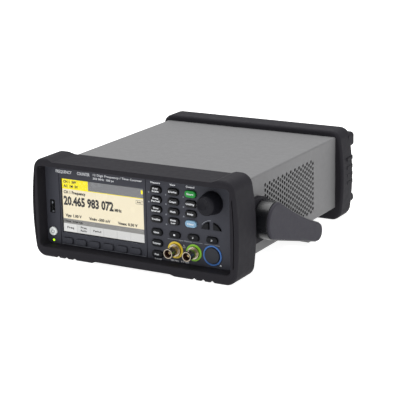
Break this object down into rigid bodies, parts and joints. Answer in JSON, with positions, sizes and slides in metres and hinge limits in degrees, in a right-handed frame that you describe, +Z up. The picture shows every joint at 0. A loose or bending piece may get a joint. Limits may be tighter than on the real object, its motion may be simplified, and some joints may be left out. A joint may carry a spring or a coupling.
{
  "type": "frequency counter",
  "caption": "Bench frequency counter with lit display, keypad, tuning knob, coaxial inputs, rubber end bumpers and a swinging carry handle",
  "frame": {"origin": "on the bench under the middle of the overall box", "axes": "+X to the right seen from the front, +Y from the front panel to the rear panel, +Z up"},
  "size_m": [0.261, 0.3032, 0.1038],
  "materials": {
    "case_paint": "fine-textured grey paint",
    "zinc_sheet": "zinc-plated sheet",
    "bumper_rubber": "moulded charcoal rubber",
    "black_plastic": "semi-gloss black moulding",
    "grip_rubber": "soft grey rubber",
    "steel": "plated steel",
    "panel_plastic": "fine-textured dark grey moulding",
    "window": "clear polycarbonate window",
    "display": "lit colour display",
    "led": "diffused yellow-green lamp",
    "circuit_board": "green solder mask",
    "nickel": "nickel plate",
    "blue_trim": "blue printed ring",
    "yellow_trim": "yellow printed ring",
    "dark_plug": "dark blank plug",
    "connector_plastic": "moulded connector body",
    "white_insulator": "moulded insulator",
    "knob_plastic": "satin grey moulding",
    "white_key": "translucent white rubber",
    "grey_key": "silicone rubber key",
    "green_key": "green silicone rubber key",
    "blue_key": "pale blue silicone rubber key"
  },
  "bodies": {
    "instrument": {"case_sleeve": "case_paint", "chassis_tray": "zinc_sheet", "front_bumper": "bumper_rubber", "rear_bumper": "bumper_rubber", "handle_pivots": "steel", "front_panel": "panel_plastic", "display_window": "window", "display_module": "display", "power_led": "led", "keypad_board": "circuit_board", "input_jacks": "nickel", "channel_1_ring": "blue_trim", "channel_2_ring": "yellow_trim", "channel_3_ring": "blue_trim", "channel_3_plug": "dark_plug", "usb_host_port": "nickel", "main_board": "circuit_board", "oven_oscillator": "steel", "power_supply": "circuit_board", "rear_panel": "zinc_sheet", "case_screws": "steel", "fan_frame": "black_plastic", "mains_inlet": "black_plastic", "rear_jacks": "nickel", "jack_insulators": "white_insulator", "lan_jack": "nickel", "usb_device_port": "nickel", "gpib_connector": "connector_plastic"},
    "softkey_1": {"softkey_1": "grey_key"},
    "softkey_2": {"softkey_2": "grey_key"},
    "softkey_3": {"softkey_3": "grey_key"},
    "softkey_4": {"softkey_4": "grey_key"},
    "softkey_5": {"softkey_5": "grey_key"},
    "softkey_6": {"softkey_6": "grey_key"},
    "left_key_1": {"left_key_1": "grey_key"},
    "left_key_2": {"left_key_2": "grey_key"},
    "left_key_3": {"left_key_3": "grey_key"},
    "left_key_4": {"left_key_4": "grey_key"},
    "left_key_5": {"left_key_5": "grey_key"},
    "left_key_6": {"left_key_6": "grey_key"},
    "left_key_7": {"left_key_7": "grey_key"},
    "middle_key_1": {"middle_key_1": "grey_key"},
    "middle_key_2": {"middle_key_2": "grey_key"},
    "middle_key_3": {"middle_key_3": "grey_key"},
    "middle_key_4": {"middle_key_4": "grey_key"},
    "right_key_1": {"right_key_1": "green_key"},
    "right_key_2": {"right_key_2": "grey_key"},
    "right_key_3": {"right_key_3": "grey_key"},
    "right_key_4": {"right_key_4": "blue_key"},
    "channel_key_1": {"channel_key_1": "grey_key"},
    "channel_key_2": {"channel_key_2": "grey_key"},
    "channel_key_3": {"channel_key_3": "grey_key"},
    "arrow_key_left": {"arrow_key_left": "grey_key"},
    "arrow_key_right": {"arrow_key_right": "grey_key"},
    "power_button": {"power_button": "white_key"},
    "tuning_knob": {"tuning_knob": "knob_plastic"},
    "fan_rotor": {"fan_rotor": "black_plastic"},
    "fuse_drawer": {"fuse_drawer": "black_plastic"},
    "handle": {"handle_frame": "black_plastic", "handle_grips": "grip_rubber"}
  },
  "joints": [
    {"name": "softkey_1_press", "type": "slide", "parent": "instrument", "child": "softkey_1", "axis": [0, 1, 0], "range_m": [0, 0.001], "stiffness_N_per_m": 1500},
    {"name": "softkey_2_press", "type": "slide", "parent": "instrument", "child": "softkey_2", "axis": [0, 1, 0], "range_m": [0, 0.001], "stiffness_N_per_m": 1500},
    {"name": "softkey_3_press", "type": "slide", "parent": "instrument", "child": "softkey_3", "axis": [0, 1, 0], "range_m": [0, 0.001], "stiffness_N_per_m": 1500},
    {"name": "softkey_4_press", "type": "slide", "parent": "instrument", "child": "softkey_4", "axis": [0, 1, 0], "range_m": [0, 0.001], "stiffness_N_per_m": 1500},
    {"name": "softkey_5_press", "type": "slide", "parent": "instrument", "child": "softkey_5", "axis": [0, 1, 0], "range_m": [0, 0.001], "stiffness_N_per_m": 1500},
    {"name": "softkey_6_press", "type": "slide", "parent": "instrument", "child": "softkey_6", "axis": [0, 1, 0], "range_m": [0, 0.001], "stiffness_N_per_m": 1500},
    {"name": "left_key_1_press", "type": "slide", "parent": "instrument", "child": "left_key_1", "axis": [0, 1, 0], "range_m": [0, 0.001], "stiffness_N_per_m": 1500},
    {"name": "left_key_2_press", "type": "slide", "parent": "instrument", "child": "left_key_2", "axis": [0, 1, 0], "range_m": [0, 0.001], "stiffness_N_per_m": 1500},
    {"name": "left_key_3_press", "type": "slide", "parent": "instrument", "child": "left_key_3", "axis": [0, 1, 0], "range_m": [0, 0.001], "stiffness_N_per_m": 1500},
    {"name": "left_key_4_press", "type": "slide", "parent": "instrument", "child": "left_key_4", "axis": [0, 1, 0], "range_m": [0, 0.001], "stiffness_N_per_m": 1500},
    {"name": "left_key_5_press", "type": "slide", "parent": "instrument", "child": "left_key_5", "axis": [0, 1, 0], "range_m": [0, 0.001], "stiffness_N_per_m": 1500},
    {"name": "left_key_6_press", "type": "slide", "parent": "instrument", "child": "left_key_6", "axis": [0, 1, 0], "range_m": [0, 0.001], "stiffness_N_per_m": 1500},
    {"name": "left_key_7_press", "type": "slide", "parent": "instrument", "child": "left_key_7", "axis": [0, 1, 0], "range_m": [0, 0.001], "stiffness_N_per_m": 1500},
    {"name": "middle_key_1_press", "type": "slide", "parent": "instrument", "child": "middle_key_1", "axis": [0, 1, 0], "range_m": [0, 0.001], "stiffness_N_per_m": 1500},
    {"name": "middle_key_2_press", "type": "slide", "parent": "instrument", "child": "middle_key_2", "axis": [0, 1, 0], "range_m": [0, 0.001], "stiffness_N_per_m": 1500},
    {"name": "middle_key_3_press", "type": "slide", "parent": "instrument", "child": "middle_key_3", "axis": [0, 1, 0], "range_m": [0, 0.001], "stiffness_N_per_m": 1500},
    {"name": "middle_key_4_press", "type": "slide", "parent": "instrument", "child": "middle_key_4", "axis": [0, 1, 0], "range_m": [0, 0.001], "stiffness_N_per_m": 1500},
    {"name": "right_key_1_press", "type": "slide", "parent": "instrument", "child": "right_key_1", "axis": [0, 1, 0], "range_m": [0, 0.001], "stiffness_N_per_m": 1500},
    {"name": "right_key_2_press", "type": "slide", "parent": "instrument", "child": "right_key_2", "axis": [0, 1, 0], "range_m": [0, 0.001], "stiffness_N_per_m": 1500},
    {"name": "right_key_3_press", "type": "slide", "parent": "instrument", "child": "right_key_3", "axis": [0, 1, 0], "range_m": [0, 0.001], "stiffness_N_per_m": 1500},
    {"name": "right_key_4_press", "type": "slide", "parent": "instrument", "child": "right_key_4", "axis": [0, 1, 0], "range_m": [0, 0.001], "stiffness_N_per_m": 1500},
    {"name": "channel_key_1_press", "type": "slide", "parent": "instrument", "child": "channel_key_1", "axis": [0, 1, 0], "range_m": [0, 0.001], "stiffness_N_per_m": 1500},
    {"name": "channel_key_2_press", "type": "slide", "parent": "instrument", "child": "channel_key_2", "axis": [0, 1, 0], "range_m": [0, 0.001], "stiffness_N_per_m": 1500},
    {"name": "channel_key_3_press", "type": "slide", "parent": "instrument", "child": "channel_key_3", "axis": [0, 1, 0], "range_m": [0, 0.001], "stiffness_N_per_m": 1500},
    {"name": "arrow_key_left_press", "type": "slide", "parent": "instrument", "child": "arrow_key_left", "axis": [0, 1, 0], "range_m": [0, 0.001], "stiffness_N_per_m": 1500},
    {"name": "arrow_key_right_press", "type": "slide", "parent": "instrument", "child": "arrow_key_right", "axis": [0, 1, 0], "range_m": [0, 0.001], "stiffness_N_per_m": 1500},
    {"name": "power_button_press", "type": "slide", "parent": "instrument", "child": "power_button", "axis": [0, 1, 0], "range_m": [0, 0.001], "stiffness_N_per_m": 1500},
    {"name": "tuning_knob_turn", "type": "hinge", "parent": "instrument", "child": "tuning_knob", "pos_m": [0.0853, -0.14, 0.0769], "axis": [0, 1, 0], "continuous": true},
    {"name": "handle_swing", "type": "hinge", "parent": "instrument", "child": "handle", "pos_m": [0, -0.0862, 0.0512], "axis": [-1, 0, 0], "range_deg": [0, 245]},
    {"name": "fan_spin", "type": "hinge", "parent": "instrument", "child": "fan_rotor", "pos_m": [0.072, 0.12, 0.0542], "axis": [0, 1, 0], "continuous": true},
    {"name": "fuse_drawer_slide", "type": "slide", "parent": "instrument", "child": "fuse_drawer", "axis": [0, 1, 0], "range_m": [0, 0.018]}
  ]
}
